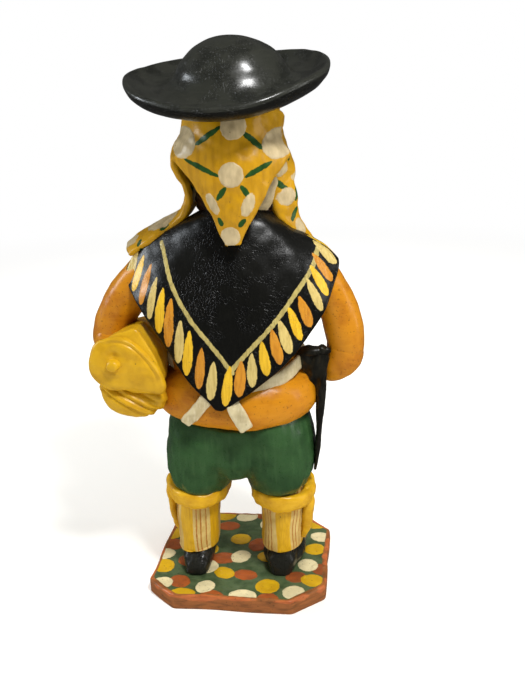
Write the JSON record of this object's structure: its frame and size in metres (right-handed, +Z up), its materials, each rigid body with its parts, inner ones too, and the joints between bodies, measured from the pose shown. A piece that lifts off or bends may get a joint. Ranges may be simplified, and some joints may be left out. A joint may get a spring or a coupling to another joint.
{
  "type": "figurine",
  "caption": "Painted clay figurine of a harvest worker in a broad black hat, scarf and fringed shawl, with a bundle and a sickle, standing on a flat base to be displayed.",
  "frame": {"origin": "centre of the base's underside", "axes": "+Z up, the figure faces -Y, and its left arm with the bundle is on +X"},
  "size_m": [0.1083, 0.0761, 0.2175],
  "materials": {
    "base_green": "hand-painted fired clay under satin varnish",
    "shoe_black": "hand-painted fired clay under satin varnish",
    "legging_striped": "hand-painted fired clay under satin varnish",
    "cuff_yellow": "hand-painted fired clay under satin varnish",
    "breeches_green": "hand-painted fired clay under satin varnish",
    "jacket_orange": "hand-painted fired clay under satin varnish",
    "apron_cream": "hand-painted fired clay under satin varnish",
    "shawl_black": "hand-painted fired clay under satin varnish",
    "skin": "hand-painted fired clay under satin varnish",
    "hair_dark": "hand-painted fired clay under satin varnish",
    "scarf_yellow": "hand-painted fired clay under satin varnish",
    "hat_black": "hand-painted fired clay under satin varnish",
    "bundle_yellow": "hand-painted fired clay under satin varnish",
    "sickle_black": "hand-painted fired clay under satin varnish"
  },
  "bodies": {
    "root": {"base_slab": "base_green", "left_shoe": "shoe_black", "right_shoe": "shoe_black", "left_legging": "legging_striped", "right_legging": "legging_striped", "left_garter_ribbon": "legging_striped", "right_garter_ribbon": "legging_striped", "left_cuff": "cuff_yellow", "right_cuff": "cuff_yellow", "breeches": "breeches_green", "jacket_peplum": "jacket_orange", "torso": "jacket_orange", "left_sleeve_upper": "jacket_orange", "left_forearm": "jacket_orange", "right_sleeve_upper": "jacket_orange", "right_forearm": "jacket_orange", "apron_waistband": "apron_cream", "apron_panel": "apron_cream", "apron_tie_left": "apron_cream", "apron_tie_right": "apron_cream", "shawl": "shawl_black", "head": "skin", "left_hand": "skin", "right_hand": "skin", "hair": "hair_dark", "headscarf": "scarf_yellow", "left_scarf_end": "scarf_yellow", "right_scarf_end": "scarf_yellow", "hat": "hat_black", "bundle_body": "bundle_yellow", "bundle_fold": "bundle_yellow", "bundle_end_disc": "bundle_yellow", "bundle_knob": "bundle_yellow", "sickle_handle": "sickle_black", "sickle_blade": "sickle_black"}
  },
  "joints": []
}
